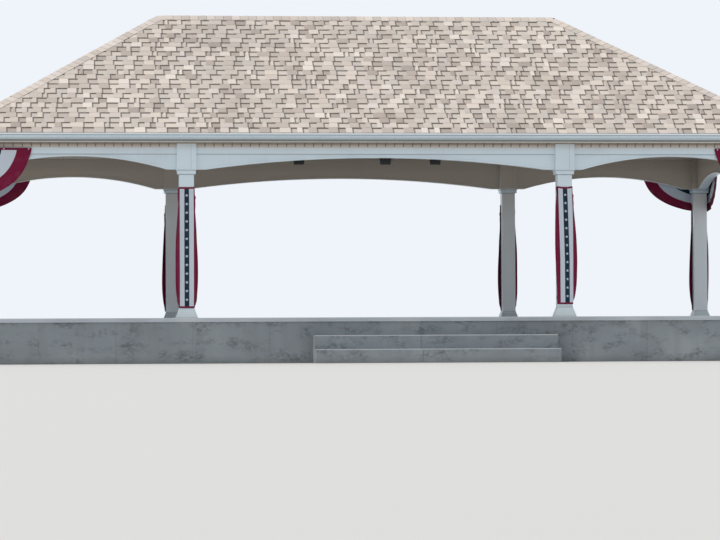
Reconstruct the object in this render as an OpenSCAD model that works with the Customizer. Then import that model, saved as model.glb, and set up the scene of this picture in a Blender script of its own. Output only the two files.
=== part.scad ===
// Open-sided bandstand with a shingled hip roof on ten columns, on a raised concrete stage.
// The front faces -Y. Z is zero at the foot of the stage walls, under the middle of the stage.

/* [Plan] */
// Centre to centre of the two columns of the wide middle bay, front and back
mid_bay = 6100; // [5600:10:6600]
// Centre to centre of the columns of each narrow end bay, front and back
end_bay = 3540; // [3200:10:3900]
// Centre to centre of the columns along each short side, which has two equal bays
side_bay = 3180; // [2900:10:3600]
// How far the stage reaches past the column centres
stage_margin = 250; // [200:10:400]

/* [Stage] */
// Height of one riser of the front steps
riser = 220; // [180:1:240]
// Depth of one tread of the front steps
tread = 330; // [280:5:400]
// Thickness of the stage slab where it lies on the walls and the top riser
slab_edge = 66; // [50:1:100]
// How far the slab edge projects past the walls under it
slab_nosing = 30; // [15:1:60]
// Thickness of the stage slab where it spans between the walls
slab_t = 160; // [120:5:220]
// Thickness of the walls under the stage
wall_t = 250; // [180:10:350]
// Width of the flight of steps
steps_w = 3900; // [2400:10:5000]
// How far the middle of the flight lies right of the middle of the stage
steps_off = 900; // [-600:10:1200]

/* [Columns] */
// Width of the square column shaft
shaft_w = 235; // [200:1:270]
// Height of the underside of the header block above the stage floor
block_z = 2374; // [2200:1:2500]
// Width of the square header block on top of each column
block_w = 310; // [285:1:340]
// Height of the trim under the header block
trim_h = 76; // [55:1:95]
// How far that trim stands out from the shaft at its foot
trim_lip = 28; // [8:1:32]
// Width of the base trim where it meets the floor
base_w = 340; // [300:1:370]
// Height of the base trim
base_h = 148; // [110:1:180]
// Wall of the hollow column shaft
shaft_wall = 20; // [10:1:30]

/* [Beams] */
// Thickness of the beams between the header blocks
beam_t = 170; // [140:2:220]
// Distance from the column centres to the outer face of the beams
beam_out = 100; // [85:1:115]
// Rise of the arch of the beams over the wide middle bays
middle_rise = 188; // [120:1:260]
// Rise of the arch of the beams over the narrow bays, at the ends and sides
narrow_rise = 215; // [120:1:270]
// Flat length beside each header block before the arch starts
arch_flat = 150; // [80:5:220]
// Height above the header block's underside where the upper board of the beam laps the arched one
lap_z = 244; // [225:1:290]
// How far the upper board and the bead of the arch stand out from the arched board
lap = 11; // [4:1:15]
// Width of the bead along the edge of the arch
bead_w = 24; // [15:1:28]
// Height of the top of the beam face above the underside of the header block
face_h = 346; // [320:1:410]
// Reach of the beams above their face, up to the ceiling
beam_over = 175; // [120:5:300]

/* [Eaves] */
// Rise of the grooved soffit between the beam face and the fascia
frieze_h = 80; // [60:1:110]
// Spacing of the grooves of the soffit
groove_pitch = 145; // [100:1:200]
// Width of a groove
groove_w = 14; // [8:1:20]
// Depth of a groove
groove_d = 7; // [4:1:10]
// How far the fascia stands out from the beam face
frieze_out = 100; // [70:1:150]
// Height of the outer face of the fascia board
fascia_h = 145; // [125:1:190]
// Thickness of the fascia board
fascia_t = 22; // [15:1:30]
// Width of the gutter at its top
gutter_w = 125; // [90:1:150]
// Height of the gutter
gutter_h = 108; // [80:1:130]
// Thickness of the gutter's sheet, drawn thicker than the real one
gutter_t = 5; // [3:0.5:8]
// Drop from the top of the fascia to the top of the gutter
gutter_drop = 7; // [4:1:25]

/* [Roof] */
// Angle of the roof slopes from level
pitch = 32.8; // [26:0.1:36]
// Thickness of each roof slope, deck and shingles together
roof_t = 25; // [18:1:40]
// How far the shingles reach past the fascia
drip = 40; // [25:1:60]
// Width of each side of the ridge and hip caps
cap_w = 145; // [110:1:180]
// Thickness of the ridge and hip caps
cap_t = 18; // [10:1:25]
// Thickness of the ceiling
ceiling_t = 20; // [12:1:30]

/* [Lights] */
// Width of a floodlight's housing at its top
light_w = 205; // [160:1:240]
// Height of the housing
light_h = 150; // [110:1:180]
// Depth of the housing without its fins and rim
light_t = 56; // [40:1:80]
// Depth of the cooling fins
fin_t = 16; // [8:1:25]
// Thickness of the strap of the yoke
strap_t = 5; // [4:0.5:8]
// Places of the three floodlights across the stage, from the middle
light_x = [-1230, 170, 980]; // [-2700:10:2700]

/* [Cloth] */
// Width of a column banner at its head and foot
banner_w = 235; // [200:1:260]
// How far each side of a banner swells out at its middle
banner_swell = 48; // [20:1:80]
// Thickness of the cloth solids
cloth_t = 8; // [5:1:12]
// Height of the foot of a banner above the floor
banner_foot = 158; // [155:1:220]
// Height of the top of a banner above the floor
banner_top = 2090; // [1900:10:2150]
// Reach of a front bunting fan along the beam from its corner
fan_w = 1240; // [900:10:1400]
// Drop of a front bunting fan at the corner
fan_drop = 850; // [600:10:1100]
// Reach of a back bunting fan, which is gathered a little
back_fan_w = 1180; // [900:10:1400]
// Drop of a back bunting fan at the corner
back_fan_drop = 770; // [600:10:1100]

/* [Hidden] */

// How far the base trim stands out from the shaft at its top
base_lip = 8;
// How far the crown of the head trim stands out from the header block
trim_crown = 5;
// Height of the upright foot of the head trim
trim_foot = 26;
// Shares of the soffit's reach and rise at which its steep lower part gives way to a flatter one
frieze_bend = [0.3, 0.62];
// How far the lip along the foot of the fascia stands out
foot_lip = 7;
// Height of the upright edges of the base trim, and of the crown of the head trim
trim_edge = 13;
// Rounding of the front edge of a step and of the upper edge of the slab
arris_r = 15;
// Number of risers up to the underside of the slab
risers = 3;
// Steps that draw a quarter of a circle, and segments of the circles of the arches and the light's pivots
arc_steps = 6;
arch_fn = 720;
pivot_fn = 24;
// Share of a floodlight's width that is left at its foot
light_taper = 0.78;
// Number of its cooling fins, and the share of its height that they leave free at each end
fins = 7;
fin_margin = 0.1;
// Heights of the foot of its yoke and of its pivots, as shares of its own
yoke_foot = 0.67;
pivot_z = 0.75;
// Distance from the beam to the fins of a floodlight
light_gap = 70;
// Height of the foot of a floodlight above the underside of the header block
light_foot = 90;
// Front of the gutter from its foot to its lip, as shares of its width and height
gutter_front = [
    [0.58, 0], [0.62, 0.24], [0.77, 0.42], [0.92, 0.54], [0.96, 0.68], [0.96, 0.86], [1, 0.9], [1, 1]
];

half_len = mid_bay / 2 + end_bay;
half_dep = side_bay;
front_x = [-half_len, -mid_bay / 2, mid_bay / 2, half_len];
corner_x = [-half_len, half_len];
// Half of the length of the ridge, which all the corner mitres point at
ridge_half = half_len - half_dep;

wall_top = risers * riser;
floor_z = wall_top + slab_edge;
stage_x = half_len + stage_margin;
stage_y = half_dep + stage_margin;

spring_z = floor_z + block_z;
frieze_z = spring_z + face_h;
fascia_z = frieze_z + frieze_h;
hip_foot = cap_w * sqrt(2);
mitre_x = ridge_half - cap_w * (sqrt(2) - 1);
beam_top = spring_z + face_h + beam_over;
beam_h = beam_top - spring_z;

// Distances outward from the line of the column centres
fascia_in = beam_out + frieze_out;
fascia_out = fascia_in + fascia_t;
shingle_out = fascia_out + drip;
block_out = block_w / 2;

// Corner of the roof at the lower edge of the shingles
eave_x = half_len + shingle_out;
eave_y = half_dep + shingle_out;

// Face of the soffit, as [distance outward, height] from the beam to the fascia
frieze_line = [
    [beam_out, frieze_z],
    [beam_out + frieze_bend[0] * frieze_out, frieze_z + frieze_bend[1] * frieze_h],
    [fascia_in, fascia_z]
];

// Height of the underside and of the top of the roof slopes at a distance outward
roof_rise = roof_t / cos(pitch);
function under_z(out) = fascia_z + fascia_h + (fascia_out - out) * tan(pitch);
function top_z(out) = under_z(out) + roof_rise;
ridge_z = top_z(-half_dep);

// Angle of one of the points along a quarter of a circle
function arc(i) = 90 * i / arc_steps;

far = 2 * (half_len + half_dep);
tall = 2 * ridge_z;
over = 1;

// Vertical wedges between the corner mitres, which cut each eave piece and roof slope to length
module front_wedge() {
    linear_extrude(tall)
        polygon([[-ridge_half, 0], [ridge_half, 0], [ridge_half + far, -far], [-ridge_half - far, -far]]);
}

module right_wedge() {
    linear_extrude(tall)
        polygon([[ridge_half, 0], [ridge_half + far, -far], [ridge_half + far, far]]);
}

// Extrudes an outline along one side: its x is the distance outward, and its y the height
module along_side(line) {
    translate([0, -line, 0])
        rotate([90, 0, -90])
            linear_extrude(far, center = true)
                children();
}

module front_run() {
    intersection() {
        front_wedge();
        along_side(half_dep) children();
    }
}

module right_run() {
    intersection() {
        right_wedge();
        rotate([0, 0, 90]) along_side(half_len) children();
    }
}

module back_run() {
    mirror([0, 1, 0]) front_run() children();
}

module left_run() {
    mirror([1, 0, 0]) right_run() children();
}

// Cuts a block to one outline seen from the front and another seen from the side, with mitred corners
module mitred(front_outline, side_outline) {
    intersection() {
        rotate([90, 0, 0])
            linear_extrude(far, center = true) polygon(front_outline);
        rotate([90, 0, 90])
            linear_extrude(far, center = true) polygon(side_outline);
    }
}

// Outline that mirrors a list of [half width, height] points, given from the foot up
function both_sides(points) = concat(
    points,
    [for (i = [len(points) - 1:-1:0]) [-points[i][0], points[i][1]]]
);

// Right half of a plate with a rounded upper edge
function rounded_edge(half, height, radius) = concat(
    [[half, 0]],
    [for (i = [0:arc_steps]) [half - radius + radius * cos(arc(i)), height - radius + radius * sin(arc(i))]]
);

// Stage: slab, walls and the front steps
module stage_slab() {
    inner_x = stage_x - wall_t;
    inner_y = stage_y - wall_t;
    inner_t = slab_t - slab_edge;
    color("lightgray") union() {
        translate([0, 0, wall_top])
            mitred(
                both_sides(rounded_edge(stage_x + slab_nosing, slab_edge, arris_r)),
                both_sides(rounded_edge(stage_y + slab_nosing, slab_edge, arris_r))
            );
        translate([-inner_x, -inner_y, wall_top - inner_t])
            cube([2 * inner_x, 2 * inner_y, inner_t]);
    }
}

module front_wall() {
    color("darkgray")
        translate([-stage_x, -stage_y, 0])
            cube([2 * stage_x, wall_t, wall_top]);
}

module back_wall() {
    mirror([0, 1, 0]) front_wall();
}

module right_wall() {
    color("darkgray")
        translate([stage_x - wall_t, -stage_y + wall_t, 0])
            cube([wall_t, 2 * (stage_y - wall_t), wall_top]);
}

module left_wall() {
    mirror([1, 0, 0]) right_wall();
}

// Bearing wall under the middle of the slab
module middle_wall() {
    color("darkgray")
        translate([-stage_x + wall_t, -wall_t / 2, 0])
            cube([2 * (stage_x - wall_t), wall_t, floor_z - slab_t]);
}

// One solid step, level with the foot of the stage, with a rounded upper front edge
module step_block(count) {
    front = -stage_y - (risers - count) * tread;
    top = count * riser;
    edge = [for (i = [0:arc_steps]) [
        front + arris_r - arris_r * sin(arc(i)),
        top - arris_r + arris_r * cos(arc(i))
    ]];
    color("darkgray")
        translate([steps_off - steps_w / 2, 0, 0])
            rotate([90, 0, 90])
                linear_extrude(steps_w)
                    polygon(concat([[front, 0], [front + tread, 0], [front + tread, top]], edge));
}

module lower_step() {
    step_block(1);
}

module upper_step() {
    step_block(2);
}

// Columns
module at_front_columns() {
    for (x = front_x)
        translate([x, -half_dep, 0]) children();
}

module at_side_columns() {
    for (x = corner_x)
        translate([x, 0, 0]) children();
}

module at_columns() {
    at_front_columns() children();
    mirror([0, 1, 0]) at_front_columns() children();
    at_side_columns() children();
}

module shaft(x, y) {
    inner = shaft_w - 2 * shaft_wall;
    color("whitesmoke")
        translate([x, y, floor_z])
            linear_extrude(block_z)
                difference() {
                    square(shaft_w, center = true);
                    square(inner, center = true);
                }
}

// A square moulding round the shaft, from its [half width, height] points
module moulding(points) {
    outline = both_sides(points);
    top = points[len(points) - 1][1];
    difference() {
        mitred(outline, outline);
        translate([0, 0, -over])
            linear_extrude(top + 2 * over) square(shaft_w, center = true);
    }
}

module column_bases() {
    narrow = shaft_w / 2 + base_lip;
    skirt = [
        [base_w / 2, 0],
        [base_w / 2, trim_edge],
        [narrow, base_h - trim_edge],
        [narrow, base_h]
    ];
    color("whitesmoke")
        at_columns()
            translate([0, 0, floor_z]) moulding(skirt);
}

module header_block() {
    color("whitesmoke")
        translate([-block_w / 2, -block_w / 2, spring_z])
            cube([block_w, block_w, beam_h]);
}

module column_heads() {
    at_columns() header_block();
}

// Upright foot, a cove over it, and a crown that stands a little proud of the block
module column_trims() {
    foot = shaft_w / 2 + trim_lip;
    crown = block_out + trim_crown;
    cove_h = trim_h - trim_foot - trim_edge;
    cove = concat(
        [[foot, 0]],
        [for (i = [0:arc_steps]) [crown - (crown - foot) * cos(arc(i)), trim_foot + cove_h * sin(arc(i))]],
        [[crown, trim_h]]
    );
    color("white")
        at_columns()
            translate([0, 0, spring_z - trim_h]) moulding(cove);
}

// Beams
// The arched board, with a bead along its arch and a thicker upper board that laps it; outside is -Y
module arched_beam(span, rise) {
    half = span / 2 - arch_flat;
    radius = (half * half + rise * rise) / (2 * rise);
    thin = beam_t - 2 * lap;
    color("white")
        translate([-span / 2, beam_t - beam_out, spring_z])
            difference() {
                union() {
                    translate([0, lap - beam_t, 0]) cube([span, thin, beam_h]);
                    translate([0, -beam_t, lap_z]) cube([span, beam_t, beam_h - lap_z]);
                    intersection() {
                        translate([0, -beam_t, 0]) cube([span, beam_t, lap_z]);
                        arch(span, rise, radius, radius + bead_w);
                    }
                    for (x = [0, span - arch_flat])
                        translate([x, -beam_t, 0]) cube([arch_flat, beam_t, bead_w]);
                }
                arch(span, rise, radius, radius);
            }
}

// Disc whose top is the arch of a span, drawn at a radius
module arch(span, rise, radius, size) {
    translate([span / 2, over, rise - radius])
        rotate([90, 0, 0])
            cylinder(r = size, h = beam_t + 2 * over, $fn = arch_fn);
}

module front_beams() {
    translate([0, -half_dep, 0]) {
        arched_beam(mid_bay - block_w, middle_rise);
        for (side = [-1, 1])
            translate([side * (mid_bay + end_bay) / 2, 0, 0])
                arched_beam(end_bay - block_w, narrow_rise);
    }
}

module back_beams() {
    mirror([0, 1, 0]) front_beams();
}

module right_beams() {
    for (side = [-1, 1])
        translate([half_len, side * side_bay / 2, 0])
            rotate([0, 0, 90])
                arched_beam(side_bay - block_w, narrow_rise);
}

module left_beams() {
    mirror([1, 0, 0]) right_beams();
}

module ceiling() {
    color("lightgray")
        translate([-half_len - beam_out, -half_dep - beam_out, beam_top])
            cube([2 * (half_len + beam_out), 2 * (half_dep + beam_out), ceiling_t]);
}

// Eaves
module frieze_profile() {
    polygon([
        frieze_line[0],
        frieze_line[1],
        frieze_line[2],
        [fascia_in, under_z(fascia_in)],
        [beam_out, under_z(beam_out)]
    ]);
}

// Comb whose teeth cut the V grooves, centred on a side of a given half length
module groove_comb(half) {
    count = floor(2 * (half + fascia_out) / groove_pitch);
    lean = groove_w / 2 * (1 + over / groove_d);
    teeth = [for (i = [0:count - 1]) each [
        [(i - (count - 1) / 2) * groove_pitch - lean, -over],
        [(i - (count - 1) / 2) * groove_pitch, groove_d],
        [(i - (count - 1) / 2) * groove_pitch + lean, -over]
    ]];
    ends = count * groove_pitch;
    polygon(concat([[-ends, -over]], teeth, [[ends, -over], [ends, -groove_w], [-ends, -groove_w]]));
}

// Grooves that run down the two parts of a soffit's face
module grooves(half, line) {
    for (i = [0, 1]) {
        foot = frieze_line[i];
        run = frieze_line[i + 1] - foot;
        translate([0, -line - foot[0], foot[1]])
            rotate([atan2(run[0], run[1]), 0, 0])
                translate([0, 0, -groove_d])
                    linear_extrude(norm(run) + 2 * groove_d)
                        groove_comb(half);
    }
}

module front_frieze() {
    color("tan") difference() {
        front_run() frieze_profile();
        column_heads();
        grooves(half_len, half_dep);
    }
}

module back_frieze() {
    mirror([0, 1, 0]) front_frieze();
}

module right_frieze() {
    color("tan") difference() {
        right_run() frieze_profile();
        column_heads();
        rotate([0, 0, 90]) grooves(half_dep, half_len);
    }
}

module left_frieze() {
    mirror([1, 0, 0]) right_frieze();
}

module fascia_profile() {
    polygon([
        [fascia_in, fascia_z],
        [fascia_out + foot_lip, fascia_z],
        [fascia_out + foot_lip, fascia_z + 2 * foot_lip],
        [fascia_out, fascia_z + 2 * foot_lip],
        [fascia_out, under_z(fascia_out)],
        [fascia_in, under_z(fascia_in)]
    ]);
}

module front_fascia() {
    color("white") front_run() fascia_profile();
}

module back_fascia() {
    color("white") back_run() fascia_profile();
}

module right_fascia() {
    color("white") right_run() fascia_profile();
}

module left_fascia() {
    color("white") left_run() fascia_profile();
}

// Open gutter with an ogee front
module gutter_profile() {
    foot = fascia_z + fascia_h - gutter_drop - gutter_h;
    face = [for (p = gutter_front) [p[0] * gutter_w, p[1] * gutter_h]];
    last = len(face) - 1;
    outer = concat([[0, gutter_h], [0, 0]], face);
    inner = concat(
        [[gutter_t, gutter_h + over], [gutter_t, gutter_t], [face[0][0] - gutter_t, gutter_t]],
        [for (i = [1:last]) [face[i][0] - gutter_t, face[i][1]]],
        [[face[last][0] - gutter_t, gutter_h + over]]
    );
    translate([fascia_out, foot])
        difference() {
            polygon(outer);
            polygon(inner);
        }
}

module front_gutter() {
    color("white") front_run() gutter_profile();
}

module back_gutter() {
    color("white") back_run() gutter_profile();
}

module right_gutter() {
    color("white") right_run() gutter_profile();
}

module left_gutter() {
    color("white") left_run() gutter_profile();
}

// Roof slopes
module slope_profile() {
    polygon([
        [shingle_out, under_z(shingle_out)],
        [shingle_out, top_z(shingle_out)],
        [-half_len, top_z(-half_len)],
        [-half_len, under_z(-half_len)]
    ]);
}

module front_roof() {
    color("rosybrown") front_run() slope_profile();
}

module back_roof() {
    color("rosybrown") back_run() slope_profile();
}

module right_roof() {
    color("rosybrown") right_run() slope_profile();
}

module left_roof() {
    color("rosybrown") left_run() slope_profile();
}

// Ridge and hip caps, each a folded strip that lies on two slopes
module cap_profile() {
    cap_rise = cap_t / cos(pitch);
    polygon([
        [shingle_out, top_z(shingle_out)],
        [shingle_out, top_z(shingle_out) + cap_rise],
        [-half_len, top_z(-half_len) + cap_rise],
        [-half_len, top_z(-half_len)]
    ]);
}

// Plan of a hip cap is cap_w wide on each side of the hip, and meets the ridge cap in a mitre

module ridge_cap() {
    color("gray")
        for (side = [0, 1])
            mirror([0, side, 0])
                intersection() {
                    front_run() cap_profile();
                    linear_extrude(tall)
                        polygon([[-ridge_half, 0], [ridge_half, 0], [mitre_x, -cap_w], [-mitre_x, -cap_w]]);
                }
}

module hip_cap() {
    intersection() {
        front_run() cap_profile();
        linear_extrude(tall)
            polygon([[ridge_half, 0], [eave_x, -eave_y], [eave_x - hip_foot, -eave_y], [mitre_x, -cap_w]]);
    }
    intersection() {
        right_run() cap_profile();
        linear_extrude(tall)
            polygon([
                [ridge_half, 0],
                [eave_x, -eave_y],
                [eave_x, hip_foot - eave_y],
                [ridge_half + hip_foot, 0]
            ]);
    }
}

module hip_caps() {
    color("gray")
        for (a = [0, 1], b = [0, 1])
            mirror([a, 0, 0]) mirror([0, b, 0]) hip_cap();
}

// Floodlights behind the front beam, each in a yoke on an arm from the beam
module floodlight() {
    foot_w = light_w * light_taper;
    back = light_gap + fin_t;
    rim = strap_t;
    case = [[-foot_w / 2, 0], [foot_w / 2, 0], [light_w / 2, light_h], [-light_w / 2, light_h]];
    yoke_w = light_w + 2 * strap_t;
    yoke_top = light_h + fin_t;
    mid_y = back + light_t / 2;
    color("dimgray") union() {
        // Case, and its rim round the glass
        translate([0, back + light_t, 0]) rotate([90, 0, 0]) linear_extrude(light_t) polygon(case);
        translate([0, back + light_t + rim, 0])
            rotate([90, 0, 0])
                linear_extrude(rim)
                    difference() {
                        polygon(case);
                        translate([0, light_h / 2]) scale(1 - 4 * rim / light_h)
                            translate([0, -light_h / 2]) polygon(case);
                    }
        // Fins on its back
        for (i = [0:fins - 1])
            translate([
                (i - (fins - 1) / 2) * foot_w / fins - strap_t / 2,
                light_gap,
                light_h * fin_margin
            ])
                cube([strap_t, fin_t + over, light_h * (1 - 2 * fin_margin)]);
        // Yoke
        translate([-yoke_w / 2, mid_y - fin_t, yoke_top]) cube([yoke_w, 2 * fin_t, strap_t]);
        for (x = [-yoke_w / 2, light_w / 2 - strap_t / 2])
            translate([x, mid_y - fin_t, light_h * yoke_foot])
                cube([strap_t * 3 / 2, 2 * fin_t, yoke_top - light_h * yoke_foot]);
        for (side = [-1, 1])
            translate([side * light_w / 2, mid_y, light_h * pivot_z])
                rotate([0, 90, 0]) cylinder(d = fin_t, h = 5 * strap_t, center = true, $fn = pivot_fn);
        // Arm, and its plate on the beam
        translate([-fin_t / 2, 0, yoke_top + strap_t - over]) cube([fin_t, mid_y + fin_t / 2, fin_t]);
        translate([-2 * fin_t, 0, yoke_top - fin_t]) cube([4 * fin_t, strap_t, 3 * fin_t]);
    }
}

module floodlights() {
    for (x = light_x)
        translate([x, -half_dep + beam_t - beam_out, spring_z + light_foot])
            floodlight();
}

// Cloth banners and bunting fans
module column_banners() {
    drop = banner_top - banner_foot;
    count = 2 * arc_steps;
    side = [for (i = [0:count]) [banner_w / 2 + banner_swell * sin(arc(i)), drop * i / count]];
    color("crimson")
        for (turn = [0, 1])
            mirror([0, turn, 0])
                for (x = front_x)
                    translate([x, -half_dep - shaft_w / 2, floor_z + banner_foot])
                        rotate([90, 0, 0])
                            linear_extrude(cloth_t) polygon(both_sides(side));
}

module half_fan(reach, drop) {
    count = 3 * arc_steps;
    curve = [for (i = [0:count]) [-reach * sin(90 * i / count), -drop * cos(90 * i / count)]];
    rotate([90, 0, 0])
        linear_extrude(cloth_t)
            polygon(concat([[0, 0]], curve));
}

module corner_fan(reach, drop) {
    corner = [half_len + block_out, -half_dep - block_out, frieze_z];
    translate(corner) {
        half_fan(reach, drop);
        translate([0, -cloth_t, -drop])
            cube([cloth_t, cloth_t, drop]);
        mirror([1, 1, 0]) half_fan(reach, drop);
    }
}

module corner_fans() {
    color("crimson")
        for (side = [0, 1])
            mirror([side, 0, 0]) {
                corner_fan(fan_w, fan_drop);
                mirror([0, 1, 0]) corner_fan(back_fan_w, back_fan_drop);
            }
}

stage_slab();
front_wall();
back_wall();
left_wall();
right_wall();
middle_wall();
lower_step();
upper_step();
shaft(front_x[0], -half_dep);  // front_left_corner_column
shaft(front_x[1], -half_dep);  // front_left_column
shaft(front_x[2], -half_dep);  // front_right_column
shaft(front_x[3], -half_dep);  // front_right_corner_column
shaft(front_x[0], half_dep);  // back_left_corner_column
shaft(front_x[1], half_dep);  // back_left_column
shaft(front_x[2], half_dep);  // back_right_column
shaft(front_x[3], half_dep);  // back_right_corner_column
shaft(-half_len, 0);  // left_side_column
shaft(half_len, 0);  // right_side_column
column_bases();
column_trims();
column_heads();
front_beams();
back_beams();
left_beams();
right_beams();
ceiling();
front_frieze();
back_frieze();
left_frieze();
right_frieze();
front_fascia();
back_fascia();
left_fascia();
right_fascia();
front_gutter();
back_gutter();
left_gutter();
right_gutter();
front_roof();
back_roof();
left_roof();
right_roof();
ridge_cap();
hip_caps();
floodlights();
column_banners();
corner_fans();
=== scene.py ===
"""Bandstand: a raised concrete stage under a hipped shingle roof on ten white columns."""
import math
import random

import bmesh
import bpy
from mathutils import Matrix, Vector


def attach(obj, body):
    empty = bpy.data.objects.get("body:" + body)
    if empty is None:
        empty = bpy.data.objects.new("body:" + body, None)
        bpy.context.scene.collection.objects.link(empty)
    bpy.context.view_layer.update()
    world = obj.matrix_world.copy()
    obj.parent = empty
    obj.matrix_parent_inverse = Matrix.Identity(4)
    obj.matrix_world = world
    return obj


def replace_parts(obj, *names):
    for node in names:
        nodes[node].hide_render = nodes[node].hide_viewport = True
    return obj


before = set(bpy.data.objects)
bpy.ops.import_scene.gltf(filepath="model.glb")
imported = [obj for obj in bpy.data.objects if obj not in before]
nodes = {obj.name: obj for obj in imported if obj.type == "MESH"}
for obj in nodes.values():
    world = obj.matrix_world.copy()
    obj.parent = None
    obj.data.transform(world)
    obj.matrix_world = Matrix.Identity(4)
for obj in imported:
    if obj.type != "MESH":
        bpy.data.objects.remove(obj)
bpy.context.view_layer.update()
scene = bpy.context.scene

# ---------------------------------------------------------------- Camera
# A long lens far out in front, to the left of the middle and as low as the steps,
# so that the eye looks slightly up under the roof.
EYE = Vector((-5.056, -53.062, 0.3275))
YAW, RISE, ROLL = math.radians(5.485), math.radians(1.325), math.radians(-0.266)
ahead = Vector((math.sin(YAW) * math.cos(RISE), math.cos(YAW) * math.cos(RISE), math.sin(RISE)))
level = Vector((math.cos(YAW), -math.sin(YAW), 0))
across = math.cos(ROLL) * level + math.sin(ROLL) * level.cross(ahead)
camera = bpy.data.objects.new("camera", bpy.data.cameras.new("camera"))
scene.collection.objects.link(camera)
scene.camera = camera
camera.data.lens = 156.0
camera.data.sensor_width = 36.0
camera.data.clip_end = 300
camera.matrix_world = Matrix.Translation(EYE) @ Matrix(
    (across, across.cross(ahead), -ahead)
).transposed().to_4x4()

# ---------------------------------------------------------------- Floor and light
# Plain pale ground that catches the shadow, an even sky, and one large soft lamp
# from the upper left, as late sun comes past the left end of the roof.
GROUND, SKY = "DCDAD6", "EFF4FA"


def colour(code):
    """An sRGB hex value as the linear colour that the shader wants."""
    parts = [int(code[i : i + 2], 16) / 255 for i in (0, 2, 4)]
    return [c / 12.92 if c <= 0.04045 else ((c + 0.055) / 1.055) ** 2.4 for c in parts] + [1]


def add(tree, kind, *values, sockets=None, out=0, **settings):
    """Adds a node with its settings, feeds its first sockets in order and others by name,
    each with a link, a number or a hex colour, and gives back one of its outputs."""
    node = tree.nodes.new("ShaderNode" + kind)
    for name, value in settings.items():
        setattr(node, name, value)
    for socket, value in [*enumerate(values), *(sockets or {}).items()]:
        if isinstance(value, bpy.types.NodeSocket):
            tree.links.new(value, node.inputs[socket])
        else:
            node.inputs[socket].default_value = colour(value) if isinstance(value, str) else value
    return node.outputs[out]


def material(name, roughness, **sockets):
    """A new material: its node tree and its shader."""
    made = bpy.data.materials.new(name)
    made.use_nodes = True
    shader = made.node_tree.nodes["Principled BSDF"]
    for socket, value in {"Roughness": roughness, **sockets}.items():
        shader.inputs[socket.replace("_", " ")].default_value = value
    return made, made.node_tree, shader


scene.view_settings.view_transform = "Standard"
ground = bmesh.new()
bmesh.ops.create_grid(ground, x_segments=1, y_segments=1, size=120)
bmesh.ops.translate(ground, verts=ground.verts, vec=(0, 0, -0.002))
floor_mesh = bpy.data.meshes.new("floor")
ground.to_mesh(floor_mesh)
ground.free()
floor = bpy.data.objects.new("floor", floor_mesh)
scene.collection.objects.link(floor)
# Matt ground without grain, which takes nothing from the piece that stands on it
pale, tree, shader = material("pale_ground", 0.9, Base_Color=colour(GROUND))
floor_mesh.materials.append(pale)

world = bpy.data.worlds.new("even_sky")
scene.world = world
world.use_nodes = True
tree = world.node_tree
sky = tree.nodes["Background"]
seen = add(tree, "LightPath").node.outputs
# The sky is brighter to the eye and in reflections than the light that it gives
direct = add(tree, "Math", seen["Is Camera Ray"], seen["Is Transmission Ray"], operation="MAXIMUM")
direct = add(tree, "Math", direct, seen["Is Glossy Ray"], operation="MAXIMUM")
sky.inputs["Color"].default_value = colour(SKY)
tree.links.new(add(tree, "MapRange", direct, 0, 1, 0.7, 1.0), sky.inputs["Strength"])

lamp = bpy.data.objects.new("late_sun", bpy.data.lights.new("late_sun", "SUN"))
scene.collection.objects.link(lamp)
lamp.data.energy = 1.6
lamp.data.angle = math.radians(12)
lamp.data.color = (1.0, 0.965, 0.92)
lamp.rotation_euler = Vector((0.8, 0.06, -1.0)).to_track_quat("-Z", "Y").to_euler()

# ---------------------------------------------------------------- Stage and steps
# Cast concrete: walls and solid steps struck from plywood forms, and a paler slab laid on
# top of them, floated smooth at its rounded edge and broomed across its deck.
PLY = 1.22  # width of a form panel
BROOM = 0.012  # spacing of broom marks, coarser than real ones so that they show
STEPS_X = 0.65  # middle of the steps, where a control joint is sawn across them
FORM_SHIFT = 3.384  # brings a form joint of the front wall in line with it, as the camera sees them
PIT = 0.05  # size of the cells of which a few have an air pit in the middle
BAND = 0.314  # spacing in metres of the bands of a wave texture whose scale is 1


def washes(tree, tone, *layers):
    """Lays one wash over another on a tone: each is its colour, and how much of it shows where."""
    for wash, share in layers:
        tone = add(tree, "Mix", share, sockets={6: tone, 7: wash}, out=2, data_type="RGBA")
    return tone


def mottle(tree, where, size, detail=3.0, stretch=(1, 1, 1)):
    """Clouding whose patches are about size metres across, longer where the stretch is under 1."""
    turned = add(tree, "Mapping", where, sockets={"Scale": stretch})
    return add(tree, "TexNoise", sockets={"Vector": turned, "Scale": 1 / size, "Detail": detail})


def repeats(tree, along, spacing, full, gone):
    """Lines at a regular spacing, which fade between two shares of it from their middle."""
    share = add(tree, "Math", along, spacing, operation="DIVIDE")
    share = add(tree, "Math", share, 0.5, operation="PINGPONG")
    return add(tree, "MapRange", share, full, gone, 1, 0)


def surface(tree, shader, tone, height=None, depth=0.0):
    """Gives a surface its colour and, from a height, relief of a real depth in metres."""
    tree.links.new(tone, shader.inputs["Base Color"])
    if depth:
        bump = add(tree, "Bump", sockets={"Height": height, "Distance": depth, "Strength": 1.0})
        tree.links.new(bump, shader.inputs["Normal"])


def dress(names, made):
    """Gives CAD nodes a finish."""
    for name in names.split():
        nodes[name].data.materials.clear()
        nodes[name].data.materials.append(made)


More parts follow.
